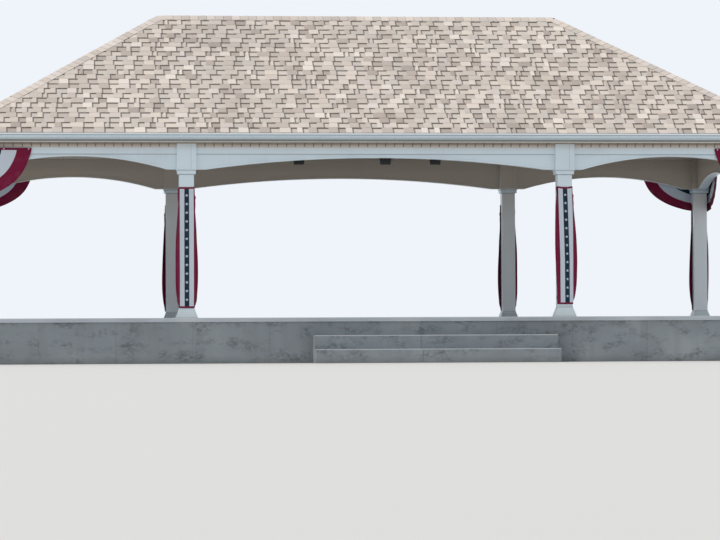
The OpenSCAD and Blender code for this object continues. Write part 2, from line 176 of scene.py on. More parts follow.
def concrete(name, base, pale_tone, dark_tone, kind):
    """Cast concrete: clouded grey with sand grain and air pits. What forms strike keeps their
    joints and takes rain streaks and mildew, what is floated stays pale and shows its broom."""
    made, tree, shader = material(name, 0.88)
    where = add(tree, "TexCoord", out="Object")
    x, y, z = add(tree, "SeparateXYZ", where).node.outputs
    cloud = mottle(tree, where, 0.9, 5)
    sand = mottle(tree, where, 0.011, 4)
    tone = washes(
        tree,
        dark_tone,
        (base, add(tree, "MapRange", cloud, 0.34, 0.5, 0.45, 1)),
        (pale_tone, add(tree, "MapRange", cloud, 0.52, 0.72)),
        (dark_tone, add(tree, "MapRange", sand, 0.58, 0.8, 0, 0.35)),
    )
    holes = add(tree, "TexVoronoi", sockets={"Vector": where, "Scale": 1 / PIT}).node.outputs
    rare = add(tree, "MapRange", add(tree, "SeparateColor", holes["Color"]), 0.8, 0.82)
    pits = add(tree, "MapRange", holes["Distance"], 0.05, 0.09, 1, 0)
    pits = add(tree, "Math", pits, rare, operation="MULTIPLY")
    upward = add(tree, "SeparateXYZ", add(tree, "NewGeometry", out="Normal"), out=2)
    top_face = add(tree, "MapRange", upward, 0.5, 0.9)
    # Rounded edges, where the faces turn upward, are painted pale: partly wear, partly a painted
    # highlight
    worn_and_lit = add(tree, "MapRange", upward, 0.93, 0.98, 1, 0)
    worn_and_lit = add(tree, "Math", add(tree, "MapRange", upward, 0.02, 0.2), worn_and_lit, operation="MULTIPLY")
    height = add(tree, "Math", sand, 0.5, operation="MULTIPLY")
    if kind == "slab":
        marks = {"Vector": where, "Scale": BAND / BROOM, "Distortion": 1.2, "Detail": 2.0}
        lines = add(tree, "TexWave", sockets=marks, out=1, bands_direction="Y")
        lines = add(tree, "Math", lines, top_face, operation="MULTIPLY")
        height = add(tree, "Math", height, lines, operation="ADD")
        trodden = add(tree, "MapRange", mottle(tree, where, 2.4, 4), 0.48, 0.7, 0, 0.45)
        tone = washes(
            tree,
            tone,
            (dark_tone, add(tree, "Math", lines, 0.25, operation="MULTIPLY")),
            (dark_tone, add(tree, "Math", trodden, top_face, operation="MULTIPLY")),
        )
    else:
        # Mildew is specks that gather in patches longer than they are high
        specks = add(tree, "MapRange", mottle(tree, where, 0.055, 5, (1, 1, 1.5)), 0.38, 0.62)
        mildew = add(tree, "MapRange", mottle(tree, where, 0.42, 3, (1, 1, 2.2)), 0.48, 0.66)
        mildew = add(tree, "Math", mildew, specks, operation="MULTIPLY")
        rust = mottle(tree, where, 0.16, 5, (1, 1, 2))
        streak = mottle(tree, where, 0.22, 4, (1, 1, 0.08))
        damp = add(tree, "Math", streak, 0.16, z, operation="MULTIPLY_ADD")
        if kind == "wall":
            # One measure serves all walls: along the front and back it is X, on the sides Y
            along = add(tree, "Math", x, STEPS_X, operation="SUBTRACT")
            along = add(tree, "Math", along, y, operation="ADD")
            along = add(tree, "Math", along, FORM_SHIFT, operation="ADD")
            upright = add(tree, "MapRange", top_face, 0, 1, 1, 0)
            joint = repeats(tree, along, PLY, 0, 0.004)
            joint = add(tree, "Math", joint, upright, operation="MULTIPLY")
        else:
            aside = add(tree, "Math", x, STEPS_X, operation="SUBTRACT")
            aside = add(tree, "Math", aside, operation="ABSOLUTE")
            joint = add(tree, "MapRange", aside, 0.003, 0.006, 1, 0)
        height = add(tree, "Math", height, joint, operation="ADD")
        tone = washes(
            tree,
            tone,
            (dark_tone, add(tree, "MapRange", streak, 0.52, 0.72, 0, 0.55)),
            ("4E5458", add(tree, "Math", mildew, 0.62, operation="MULTIPLY")),
            ("83776C", add(tree, "MapRange", rust, 0.58, 0.75, 0, 0.3)),
            ("5E5F5C", add(tree, "MapRange", damp, 0.06, 0.2, 0.5, 0)),
            ("6B6C69", add(tree, "Math", joint, 0.6, operation="MULTIPLY")),
        )
    tone = washes(
        tree,
        tone,
        # the pale rounded edges: wear and a painted highlight
        ("C4C6C6", add(tree, "Math", worn_and_lit, 0.55, operation="MULTIPLY")),
        ("5A5B58", add(tree, "Math", pits, 0.7, operation="MULTIPLY")),
    )
    surface(tree, shader, tone, add(tree, "Math", height, pits, operation="SUBTRACT"), 0.0025)
    return made


# The blue in the greys of the walls, steps and slab is painted shade; the concrete itself is a
# neutral grey
cast = concrete("cast_concrete", "92999E", "A0A6A9", "82888C", "wall")
dress("front_wall back_wall left_wall right_wall middle_wall", cast)
dress("lower_step upper_step", concrete("step_concrete", "959CA1", "A3A9AC", "858B8F", "step"))
dress("stage_slab", concrete("floated_concrete", "BCC3CA", "C9CED3", "A4AAB0", "slab"))

# ---------------------------------------------------------------- Columns and beams
# White vinyl wraps and boards over posts and beams of timber: extruded, low gloss,
# with a faint ripple, a little chalking, and grime that gathers near the floor.
# The vinyl is white: the blue in its tone is painted shade
VINYL, GRIME = "DDEBF3", "C6D0D6"
COLUMN_X, COLUMN_Y = (-6.59, -3.05, 3.05, 6.59), 3.18  # middles of the front and back columns
SIDES_X = 6.3  # beyond this stand the columns and beams of the short sides
BASE_TOP, TRIM_FOOT, TRIM_COVE = 0.874, 3.024, 3.086  # heights of the edges of the mouldings
SPLASH_Z, WARM_SHADE_Z, EAVE_SHADE_Z = (0.6, 0.95), (2.5, 3.05), (3.39, 3.5)  # where each fades in or out
LAP_Z = 3.344  # height at which the upper board of a beam laps the arched one
SEAM = 0.072  # distance from the middle of a block to the lapped joint in its wrap


def line_at(tree, value, middle, half, depth):
    """A soft line on a surface, of some depth where a value is within half of its middle."""
    aside = add(tree, "Math", value, middle, operation="SUBTRACT")
    aside = add(tree, "Math", aside, operation="ABSOLUTE")
    return add(tree, "MapRange", aside, half * 0.5, half, depth, 0)


def vinyl(name, kind):
    """Extruded vinyl: a smooth skin with soft broad highlights and a faint ripple along its length,
    cool white on the outer faces, with grime and splashes. Its inner faces are set apart in tone,
    with painted warm shade, and painted shade lies under the soffit and in lines under the
    mouldings and laps."""
    made, tree, shader = material(name, 0.42, Coat_Weight=0.12, Coat_Roughness=0.3, IOR=1.53)
    where = add(tree, "TexCoord", out="Object")
    x, y, z = add(tree, "SeparateXYZ", where).node.outputs
    facing = add(tree, "SeparateXYZ", add(tree, "NewGeometry", out="Normal")).node.outputs
    inward = []
    for spot, normal in zip((x, y), facing):
        toward = add(tree, "Math", spot, operation="SIGN")
        toward = add(tree, "Math", toward, normal, operation="MULTIPLY")
        inward.append(add(tree, "MapRange", toward, -0.6, -0.5, 1, 0))
    # A face that looks inward along X counts on the short sides only, between the corners
    for spot, test, limit in ((x, "GREATER_THAN", SIDES_X), (y, "LESS_THAN", COLUMN_Y)):
        there = add(tree, "Math", spot, operation="ABSOLUTE")
        there = add(tree, "Math", there, limit, operation=test)
        inward[0] = add(tree, "Math", inward[0], there, operation="MULTIPLY")
    inside = add(tree, "Math", inward[1], inward[0], operation="MAXIMUM")
    cloud = mottle(tree, where, 0.5, 4)
    streak = mottle(tree, where, 0.07, 4, (1, 1, 0.1))
    splash = add(tree, "Math", cloud, -0.25, z, operation="MULTIPLY_ADD")
    layers = [
        (GRIME, add(tree, "MapRange", cloud, 0.5, 0.75, 0, 0.25)),
        (GRIME, add(tree, "MapRange", streak, 0.58, 0.8, 0, 0.18)),
        ("AFAFA9", add(tree, "MapRange", splash, *SPLASH_Z, 0.35, 0)),
    ]
    if kind == "shaft":
        # The inner faces are set a lighter, bluer white, and browner below the ceiling: that brown
        # is painted warm shade
        warm_shade = add(tree, "MapRange", z, *WARM_SHADE_Z, 0, 0.5)
        layers += [
            ("EEF5F9", inside),
            ("C6BBB0", add(tree, "Math", inside, warm_shade, operation="MULTIPLY")),
            # Painted shade lines on the shaft under the head's trim and above the base
            ("8A949C", line_at(tree, z, TRIM_FOOT - 0.006, 0.012, 0.7)),
            ("99A09F", line_at(tree, z, BASE_TOP + 0.004, 0.01, 0.5)),
        ]
    elif kind == "moulding":
        # Painted shade line in the trim's cove, under its top fillet
        layers.append(("97A1A8", line_at(tree, z, TRIM_COVE - 0.006, 0.014, 0.55)))
    else:
        # Inner faces are painted duller and browner than the outer ones, as warm shade, and have no
        # lap
        layers.append(("BEB4A8", inside))
        if kind == "beam":
            # Painted shadow under the lap of the upper board, on the outer faces only
            outside = add(tree, "Math", 1.0, inside, operation="SUBTRACT")
            lap_shadow = line_at(tree, z, LAP_Z - 0.004, 0.009, 0.6)
            layers.append(("7F888E", add(tree, "Math", lap_shadow, outside, operation="MULTIPLY")))
        else:
            for middle in COLUMN_X:
                layers.append(("9EA8AE", line_at(tree, x, middle + SEAM, 0.006, 0.45)))
    # Painted shade under the soffit, darker towards the top
    layers.append(("A69C91", add(tree, "MapRange", z, *EAVE_SHADE_Z, 0, 0.4)))
    ripple = mottle(tree, where, 0.16, 2, (1, 1, 0.35))
    surface(tree, shader, washes(tree, VINYL, *layers), ripple, 0.0012)
    tree.links.new(add(tree, "MapRange", cloud, 0.3, 0.7, 0.36, 0.52), shader.inputs["Roughness"])
    return made


dress(
    "front_left_corner_column front_left_column front_right_column front_right_corner_column"
    " back_left_corner_column back_left_column back_right_column back_right_corner_column"
    " left_side_column right_side_column",
    vinyl("shaft_vinyl", "shaft"),
)
dress("column_bases column_trims", vinyl("moulded_vinyl", "moulding"))
dress("column_heads", vinyl("block_vinyl", "block"))
dress("front_beams back_beams left_beams right_beams", vinyl("beam_vinyl", "beam"))

# ---------------------------------------------------------------- Ceiling and soffit
# Tan prepainted metal soffit, roll-formed in long ribbed panels: the ceiling's are laid
# across the stage, and the grooves of the eaves' strip are cut in the shape itself.
PANEL = 0.30  # width of a ceiling panel
BEAD = 0.10  # spacing of the grooves in it
GROOVE = 0.145  # spacing of the grooves in the eaves' strip
VENT_Z = 3.4956  # height at which its steep lower part gives way to a flatter one
PORE = 0.012  # spacing of the vent holes, coarser than real ones so that they show


def soffit(name, base, dark, kind):
    """Baked enamel with a moulded grain: matt and even, with dark grooves. On the eaves' strip the
    grooves and the flatter upper part, with its vent pores, are painted darker as shade under the
    gutter, and the steep lower part is painted lighter where the light falls on it."""
    made, tree, shader = material(name, 0.62)
    where = add(tree, "TexCoord", out="Object")
    x, y, z = add(tree, "SeparateXYZ", where).node.outputs
    cloud = mottle(tree, where, 0.8, 4)
    grain = mottle(tree, where, 0.012, 3, (1, 0.2, 1))
    height = add(tree, "Math", grain, 0.25, operation="MULTIPLY")
    layers = [(dark, add(tree, "MapRange", cloud, 0.45, 0.75, 0, 0.4))]
    if kind == "ceiling":
        bead = add(tree, "Math", repeats(tree, x, BEAD, 0, 0.05), 0.6, operation="MULTIPLY")
        groove = add(tree, "Math", bead, repeats(tree, x, PANEL, 0, 0.02), operation="MAXIMUM")
        layers.append(("5F584E", add(tree, "Math", groove, 0.75, operation="MULTIPLY")))
        height = add(tree, "Math", height, groove, operation="SUBTRACT")
    else:
        # The grooves are centred on the long sides and straddle the middle of the short
        along = x if kind == "long" else add(tree, "Math", y, GROOVE / 2, operation="ADD")
        # The grooves are painted dark as the shade in them, most near the top under the gutter
        foot = add(tree, "MapRange", z, VENT_Z - 0.045, VENT_Z - 0.005, 1, 0)
        groove_shade = add(tree, "MapRange", foot, 0, 1, 0.8, 0.4)
        groove = repeats(tree, along, GROOVE, 0.05, 0.085)
        # The flatter upper part is painted darker as the shade under the gutter, and carries a dot
        # pattern of vent pores
        upper_part = add(tree, "MapRange", z, VENT_Z - 0.002, VENT_Z + 0.002)
        cells = {"Vector": where, "Scale": 1 / PORE}
        pores = add(tree, "TexVoronoi", sockets=cells, feature="DISTANCE_TO_EDGE")
        pores = add(tree, "MapRange", pores, 0.3, 0.4)
        dots = add(tree, "Math", upper_part, pores, operation="MULTIPLY")
        layers += [
            # Painted light on the steep lower part
            ("D2CAC4", add(tree, "Math", foot, 0.75, operation="MULTIPLY")),
            # Painted shade in the grooves
            ("665B51", add(tree, "Math", groove, groove_shade, operation="MULTIPLY")),
            # Painted shade on the flatter upper part, and the dark vent pores on it
            ("857B71", add(tree, "Math", upper_part, 0.75, operation="MULTIPLY")),
            ("4E4741", add(tree, "Math", dots, 0.6, operation="MULTIPLY")),
        ]
    surface(tree, shader, washes(tree, base, *layers), height, 0.004)
    return made


# The ceiling's tan is set darker than the eaves' strip of the same soffit: painted shade
dress("ceiling", soffit("ribbed_soffit", "9F968C", "8E857C", "ceiling"))
dress("front_frieze back_frieze", soffit("long_tan_soffit", "B4A89D", "A2968A", "long"))
dress("left_frieze right_frieze", soffit("short_tan_soffit", "B4A89D", "A2968A", "short"))

# ---------------------------------------------------------------- Fascia and gutters
# Prepainted aluminium: fascia boards bent on a brake under a roll-formed, moulded eaves gutter,
# satin white, with water marks, a painted highlight on the gutter's lip, and painted shade along
# the rolls of its moulding and on the fascia under it.
LIP_Z, GROOVE_Z, STEP_Z, ROLL_Z = 3.643, 3.632, 3.584, 3.568  # heights on the gutter's moulding
FASCIA_Z = 3.54  # above this the fascia lies close behind the gutter and is painted dark as the gutter's shade


def coil(name, base, stain, moulded):
    """Enamelled sheet: a satin coat with clear highlights over slight dents, and drip marks."""
    made, tree, shader = material(name, 0.33, Coat_Weight=0.25, Coat_Roughness=0.2)
    where = add(tree, "TexCoord", out="Object")
    z = add(tree, "SeparateXYZ", where, out=2)
    cloud = mottle(tree, where, 0.35, 4)
    drip = mottle(tree, where, 0.045, 3, (1, 1, 0.12))
    layers = [
        (stain, add(tree, "MapRange", cloud, 0.45, 0.75, 0, 0.2)),
        (stain, add(tree, "MapRange", drip, 0.56, 0.75, 0, 0.3)),
    ]
    if moulded:
        # Painted highlight on the lip, and painted shade in the groove under it, at the step and on
        # the roll turned under
        layers += [
            ("FAFDFF", add(tree, "MapRange", z, LIP_Z, LIP_Z + 0.003, 0, 0.9)),
            ("7A8E9C", line_at(tree, z, GROOVE_Z, 0.0095, 0.85)),
            ("8999A3", line_at(tree, z, STEP_Z, 0.012, 0.5)),
            ("6F7978", add(tree, "MapRange", z, ROLL_Z, ROLL_Z + 0.006, 0.85, 0)),
        ]
    else:
        # Painted shade on the fascia under the gutter
        layers.append(("7A7873", add(tree, "MapRange", z, FASCIA_Z, FASCIA_Z + 0.005, 0, 0.75)))
    surface(tree, shader, washes(tree, base, *layers), mottle(tree, where, 0.3, 1), 0.0015)
    return made


gutter = coil("white_aluminium", "E2F0F8", "BCCCD6", True)
dress("front_gutter back_gutter left_gutter right_gutter", gutter)
fascia = coil("fascia_aluminium", "E8E3DC", "BDB7B0", False)
dress("front_fascia back_fascia left_fascia right_fascia", fascia)

# ---------------------------------------------------------------- Roof shingles
# Laminated asphalt shingles: each course is a full sheet whose upper ply is cut in teeth of
# mixed lengths, so the gaps show the ply below with its dark shadow band at the top.
PITCH = math.radians(32.8)
EAVE = (6.852, 3.442)  # half length and half depth of the roof at the shingles' lower edge
EAVE_Z = 3.6749  # height of the roof deck there
RIDGE_HALF = 3.41
SLOPE = EAVE[1] / math.cos(PITCH)
COURSES = 25
SHOW = SLOPE / COURSES  # how much of each course shows
DRIP, DIP = 0.008, 0.012  # how far the first course hangs over, and each reaches under the next
SPARE = 0.02  # what is laid past the hips, and then cut off along them
SHEET, TOOTH = 0.006, 0.0035  # thickness of the lower ply at its butt, and of a tooth on it
SUNK = 0.002  # how far a tooth reaches into the lower ply, so that no gap opens
TILT = math.atan(0.0045 / SHOW)  # each plate loses 4.5 mm of height over what shows of it
EDGE = 0.007  # width of a tooth's slanting cut edge
LONG = 0.99  # length of one sheet
# Widths of the gaps and the teeth of the sheets, from three cutting dies
PATTERNS = (
    ((0.155, 0.18), (0.15, 0.165), (0.17, 0.1699)),
    ((0.185, 0.155), (0.09, 0.14), (0.12, 0.11), (0.1, 0.0899)),
    ((0.16, 0.17), (0.14, 0.21), (0.155, 0.0749), (0.035, 0.045)),
)
# Tones of the plies from dark to light, at their share of the range
BLEND = (
    (0.0, "B2A59C"), (0.1, "C6B9AF"), (0.25, "D2C5BA"), (0.37, "D2C9C0"), (0.5, "DCCFC2"),
    (0.62, "DCD0C8"), (0.75, "E9DBCD"), (0.87, "E7DBD3"), (1.0, "F4E9DE"),
)
CUT = -1.0  # the tone that marks a cut edge
rng = random.Random(11)


def shape(name, bm, *finishes, smooth=False):
    """A new piece from a bmesh, with its finishes, riding on the frame."""
    mesh = bpy.data.meshes.new(name)
    bm.to_mesh(mesh)
    bm.free()
    piece = bpy.data.objects.new(name, mesh)
    scene.collection.objects.link(piece)
    for finish in finishes:
        mesh.materials.append(finish)
    for face in mesh.polygons:
        face.use_smooth = smooth
    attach(piece, "root")
    return piece


def lay(bm, u, v, long, high, thick, top, tone, cut=0.0):
    """One thin plate laid on the slope, tilted so that its upper end dips under the next."""
    tip = Matrix.Translation((u + long / 2, v, 0)) @ Matrix.Rotation(-TILT, 4, "X")
    box = Matrix.Translation((0, high / 2, top - thick / 2))
    box = box @ Matrix.Diagonal((long, high, thick, 1))
    made = bmesh.ops.create_cube(bm, size=1, matrix=tip @ box)["verts"]
    if cut:
        right = [p for p in made if p.co.x > u + long / 2]
        upper = sorted(right, key=lambda p: p.co.z - p.co.y * math.tan(-TILT))[2:]
        bmesh.ops.translate(bm, verts=upper, vec=(-cut, 0, 0))
    shade, uv = bm.faces.layers.float["shade"], bm.loops.layers.uv["course"]
    for face in {f for p in made for f in p.link_faces}:
        face.normal_update()
        face[shade] = CUT if cut and face.normal.x > 0.2 else tone
        for loop in face.loops:
            spot = loop.vert.co
            loop[uv].uv = (1, 0) if cut else (spot.x - u, spot.y - v)


def cut_off(bm, point, normal):
    """Takes away all that lies beyond a plane."""
    everything = bm.verts[:] + bm.edges[:] + bm.faces[:]
    bmesh.ops.bisect_plane(bm, geom=everything, plane_co=point, plane_no=normal, clear_outer=True)


def shingle_slope(name, half, half_top, turn, out):
    """All the courses on one slope, cut along its two hips and under the ridge cap."""
    whole, scratch = bmesh.new(), bpy.data.meshes.new("course")
    for row in range(COURSES):
        widths = []
        bm = bmesh.new()
        bm.faces.layers.float.new("shade")
        bm.loops.layers.uv.new("course")
        drip = 0 if row else DRIP
        v, high = row * SHOW - drip, SHOW + DIP + drip
        reach = half + (half_top - half) * row / COURSES + SPARE
        u = -reach - rng.random() * LONG
        while u < reach:
            if not widths:
                widths = list(rng.choice(PATTERNS))
                rng.shuffle(widths)
            gap, tooth = widths.pop(0)
            lay(bm, u, v, gap + tooth, high, SHEET, SHEET, rng.random() * 0.75)
            lay(bm, u + gap, v, tooth, high, TOOTH + SUNK, SHEET + TOOTH, rng.random(), EDGE)
            u += gap + tooth
        bm.to_mesh(scratch)
        bm.free()
        whole.from_mesh(scratch)
    bpy.data.meshes.remove(scratch)
    for side in (1, -1):
        cut_off(whole, (side * half, 0, 0), (side * SLOPE, half - half_top, 0))
    cut_off(whole, (0, SLOPE, 0), (0, 1, 0))
    eave = Matrix.Translation((0, -out, EAVE_Z)) @ Matrix.Rotation(PITCH, 4, "X")
    turned = Matrix.Rotation(turn, 4, "Z") @ eave
    bmesh.ops.transform(whole, matrix=turned, verts=whole.verts)
    return shape(name, whole, shingle)


# Asphalt under mineral granules: rough, with no highlight, each ply of its own tone with light and
# dark grains, a dark band under the next course, dark asphalt at the cut edges, and a painted
# shadow of each tooth on the gap beside it
shingle, tree, shader = material("asphalt_shingle", 0.93)
where = add(tree, "TexCoord", out="Object")
tone = add(tree, "Attribute", out="Fac", attribute_name="shade")
granules = mottle(tree, where, 0.009, 3)
patch = mottle(tree, where, 1.6, 4)
course = add(tree, "UVMap", uv_map="course")
u, v, _ = add(tree, "SeparateXYZ", course).node.outputs
band = add(tree, "MapRange", v, SHOW - 0.041, SHOW - 0.024)
# Painted shadow of the tooth before each gap, on the gap's left end
tooth_shadow = add(tree, "MapRange", u, 0.012, 0.019, 0.8, 0)
# dark holds the band and the painted tooth shadow
dark = add(tree, "Math", band, tooth_shadow, operation="MAXIMUM")
ply = add(tree, "ValToRGB", tone)
stops = ply.node.color_ramp.elements
for at, code in BLEND:
    stop = stops[0] if at == 0 else stops[-1] if at == 1 else stops.new(at)
    stop.color = colour(code)
body = washes(
    tree,
    ply,
    ("8C837A", add(tree, "MapRange", granules, 0.5, 0.78, 0, 0.4)),
    ("E6DED6", add(tree, "MapRange", granules, 0.46, 0.3, 0, 0.4)),
    ("A39A93", add(tree, "MapRange", patch, 0.5, 0.75, 0, 0.3)),
    ("443C36", add(tree, "Math", dark, 0.9, operation="MULTIPLY")),
    ("443D38", add(tree, "MapRange", tone, CUT + 0.4, CUT + 0.6, 1, 0)),
)
surface(tree, shader, body, granules, 0.002)

shingle_slope("front_shingles", EAVE[0], RIDGE_HALF, 0, EAVE[1])
shingle_slope("back_shingles", EAVE[0], RIDGE_HALF, math.pi, EAVE[1])
shingle_slope("right_shingles", EAVE[1], 0.0, math.pi / 2, EAVE[0])
shingle_slope("left_shingles", EAVE[1], 0.0, -math.pi / 2, EAVE[0])

# ---------------------------------------------------------------- Hip and ridge caps
# Single shingles folded over each hip from the eaves up and then along the ridge, each lapped by
# the next, so the strip looks thick and throws a thin shadow, which the dark band also paints below
# each butt.
CAP_SHOW, CAP_LONG, CAP_WIDE = 0.142, 0.2, 0.15
CAP_THICK, CAP_OVER = 0.004, 0.008  # thickness, and how far the strip hangs over the eaves
CAP_LIFT = (0.0085, 0.0135)  # its underside's height over the deck, at the upper end and the butt
CREST = 0.05  # half the width that is bent over the crest


def fold_caps(name, rows, node):
    """Rows of caps: each is its foot, its head, and the directions down the two slopes."""
    whole, scratch = bmesh.new(), bpy.data.meshes.new("cap")
    for foot, head, falls in rows:
        along = (head - foot).normalized()
        outs = [f.cross(along) * (1 if f.cross(along).z > 0 else -1) for f in falls]
        crest = (outs[0] + outs[1]) / (1 + outs[0].dot(outs[1]))
        count = math.ceil((head - foot).length / CAP_SHOW)
        for i in range(count):
            bm = bmesh.new()
            shade = bm.faces.layers.float.new("shade")
            uv = bm.loops.layers.uv.new("course")
            for p in bmesh.ops.create_grid(bm, x_segments=4, y_segments=1, size=1)["verts"]:
                side, upper = p.co.x, (p.co.y + 1) / 2
                lift = CAP_LIFT[1] + (CAP_LIFT[0] - CAP_LIFT[1]) * upper
                fall, out = (falls[0], outs[0]) if side < 0 else (falls[1], outs[1])
                # Across it are the crest, the end of the bend and the edge
                spread = 0.0 if abs(side) < 0.1 else CAP_WIDE if abs(side) > 0.9 else CREST
                p.co = foot + along * (CAP_SHOW * i + CAP_LONG * upper) + fall * spread
                p.co += (out if spread else crest) * lift
                p.co.z -= 0 if spread else CAP_THICK
            bmesh.ops.recalc_face_normals(bm, faces=bm.faces)
            if sum(f.normal.z for f in bm.faces) < 0:
                bmesh.ops.reverse_faces(bm, faces=bm.faces)
            bmesh.ops.solidify(bm, geom=bm.faces[:], thickness=CAP_THICK)
            tone = rng.uniform(0.2, 0.95)
            for face in bm.faces:
                face[shade] = tone
                for loop in face.loops:
                    # Each cap's dark band lies just below the butt of the next cap, as its painted
                    # shadow; the last cap has no other on it, so its upper end stays light
                    upward = (loop.vert.co - foot).dot(along) - CAP_SHOW * i - 0.008
                    loop[uv].uv = (1, upward if i < count - 1 else 0)
            bm.to_mesh(scratch)
            bm.free()
            whole.from_mesh(scratch)
    bpy.data.meshes.remove(scratch)
    for sign in (1, -1):
        cut_off(whole, (sign * (EAVE[0] + CAP_OVER), 0, 0), (sign, 0, 0))
        cut_off(whole, (0, sign * (EAVE[1] + CAP_OVER), 0), (0, sign, 0))
    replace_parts(shape(name, whole, shingle), node)


def unit(*parts):
    return Vector(parts).normalized()


lean = math.tan(PITCH)
apex = EAVE_Z + EAVE[1] * lean
rows = []
for sx in (1, -1):
    for sy in (1, -1):
        corner = Vector((sx * EAVE[0], sy * EAVE[1], EAVE_Z))
        peak = Vector((sx * RIDGE_HALF, 0, apex))
        hip = (peak - corner).normalized()
        long_side = unit(0, sy * math.sin(PITCH), math.cos(PITCH))
        short_side = unit(sx * math.sin(PITCH), 0, math.cos(PITCH))
        falls = [hip.cross(n) * (-1 if hip.cross(n).z > 0 else 1) for n in (long_side, short_side)]
        rows.append((corner, peak - hip * 0.2, falls))
fold_caps("hip_cap_shingles", rows, "hip_caps")
# The ridge's strip ends a little inside the peaks, where it laps the last caps of the hips
ends = Vector((RIDGE_HALF - 0.02, 0, apex)), Vector((0.17 - RIDGE_HALF, 0, apex))
fold_caps("ridge_cap_shingles", [(*ends, [unit(0, -1, -lean), unit(0, 1, -lean)])], "ridge_cap")

# ---------------------------------------------------------------- Roof deck
# Board under the shingles, of which only the drip edge at the eaves shows:
# prepainted steel folded over it, brown-grey, half matt and slightly stained.
deck, tree, shader = material("drip_edge", 0.5)
stain = add(tree, "MapRange", mottle(tree, add(tree, "TexCoord", out="Object"), 0.2), 0.4, 0.7)
surface(tree, shader, washes(tree, "8A847C", ("746E67", stain)))
dress("front_roof back_roof left_roof right_roof", deck)

# ---------------------------------------------------------------- Floodlights
# Cast aluminium housings in black powder coat, with cooling fins at the back,
# a strap yoke, and toughened glass facing the stage.
LIGHT_X, LIGHT_FOOT = (-1.23, 0.17, 0.98), 3.19
PANE, PANE_UP = (0.178, 0.003, 0.128), 0.075  # its sizes, and its middle above the foot
GLASS_Y = -2.9705  # middle of the glass, just inside the rim
BOLT_Y = -2.996
BOLT_UP, BOLT_OUT = 0.1125, 0.117  # the yoke's pivots, over the foot and beside the middle

# Powder coat: near black with the fine orange-peel grain that spreads its highlights
black, tree, shader = material("black_powder_coat", 0.5)
grit = mottle(tree, add(tree, "TexCoord", out="Object"), 0.004, 2)
tone = washes(tree, "1B1C1E", ("2B2C2E", add(tree, "MapRange", grit, 0.4, 0.7)))
surface(tree, shader, tone, grit, 0.0004)
dress("floodlights", black)

# Toughened glass over prisms: a hard clear coat on a pale pane with a cut pattern
glass, tree, shader = material("toughened_glass", 0.12, IOR=1.5, Coat_Weight=1.0)
cells = {"Vector": add(tree, "TexCoord", out="Object"), "Scale": 60.0}
facet = add(tree, "MapRange", add(tree, "TexVoronoi", sockets=cells, out="Distance"), 0.1, 0.6)
surface(tree, shader, washes(tree, "8D9296", ("B9BEC1", facet)))
panes, bolts = bmesh.new(), bmesh.new()
for x in LIGHT_X:
    made = bmesh.ops.create_cube(panes, size=1)["verts"]
    bmesh.ops.scale(panes, verts=made, vec=PANE)
    foot = [p for p in made if p.co.z < 0]
    bmesh.ops.scale(panes, verts=foot, vec=(0.8, 1, 1))
    bmesh.ops.translate(panes, verts=made, vec=(x, GLASS_Y, LIGHT_FOOT + PANE_UP))
    for side in (1, -1):
        pivot = Matrix.Translation((x + side * BOLT_OUT, BOLT_Y, LIGHT_FOOT + BOLT_UP))
        pivot = pivot @ Matrix.Rotation(math.pi / 2, 4, "Y")
        bmesh.ops.create_cone(
            bolts, cap_ends=True, segments=6, radius1=0.011, radius2=0.011, depth=0.006,
            matrix=pivot,
        )
shape("floodlight_glass", panes, glass)
# Zinc plate: bare metal with a cloudy grey bloom
zinc, tree, shader = material("zinc_plate", 0.35, Metallic=1.0)
bloom = mottle(tree, add(tree, "TexCoord", out="Object"), 0.01)
surface(tree, shader, washes(tree, "B4B8BA", ("8E9396", bloom)))
shape("floodlight_bolts", bolts, zinc)

# ---------------------------------------------------------------- Column banners
# Printed cotton, hemmed in red, tied round each column at its head and foot: a navy stripe
# with white stars between white ones, and red borders that swing out between the ties.
TOP_Z, FOOT_Z = 2.816, 0.884
HANG = TOP_Z - FOOT_Z
FACE_HALF = 0.1175  # half of the column's width
BORDER = 0.1  # cloth beyond each edge of the column
HEM = 0.032
NAVY_HALF, WHITE_HALF = 0.036, 0.11
STAR_STEP, STAR_R = 0.1385, 0.027
STAR_EDGE = (0.309, 0.951)  # cosine and sine of the 72 degrees at which a star's edge leans
CRIMSON, NAVY, WHITE = "7C143B", "1A3242", "D0D9E4"
WEAVE = 0.004  # spacing of the threads, coarser than real ones so that they show
CLOTH = 0.0012  # thickness
TIE = 0.012  # depth of the strip that a tie or a pin holds


def cloth(name, layout):
    """Printed cotton: a matt plain weave with a soft sheen at a flat angle and slightly faded
    inks. The print follows the flat cloth, whose place in metres its UV map holds."""
    made, tree, shader = material(
        name, 0.8, Sheen_Weight=0.06, Sheen_Roughness=0.4, Specular_IOR_Level=0.2
    )
    flat = add(tree, "UVMap", uv_map="flat")
    across, up, _ = add(tree, "SeparateXYZ", flat).node.outputs
    threads = {"Vector": flat, "Scale": BAND / WEAVE}
    warp, weft = (
        add(tree, "TexWave", sockets=threads, out=1, bands_direction=way) for way in "XY"
    )
    weave = add(tree, "Math", warp, weft, operation="MULTIPLY")
    tone = washes(
        tree,
        layout(tree, across, up),
        ("C9CBCD", add(tree, "MapRange", mottle(tree, flat, 0.25, 3), 0.5, 0.8, 0, 0.06)),
        ("20242C", add(tree, "Math", weave, 0.06, operation="MULTIPLY")),
    )
    surface(tree, shader, tone, weave, 0.0004)
    return made


def past(tree, value, edge, blur=0.0005):
    """Nothing short of a printed edge and 1 past it."""
    return add(tree, "MapRange", value, edge - blur, edge + blur)


def length(tree, x, y):
    """How far a point is from the origin."""
    square = add(tree, "Math", y, y, operation="MULTIPLY")
    square = add(tree, "Math", x, x, square, operation="MULTIPLY_ADD")
    return add(tree, "Math", square, operation="SQRT")


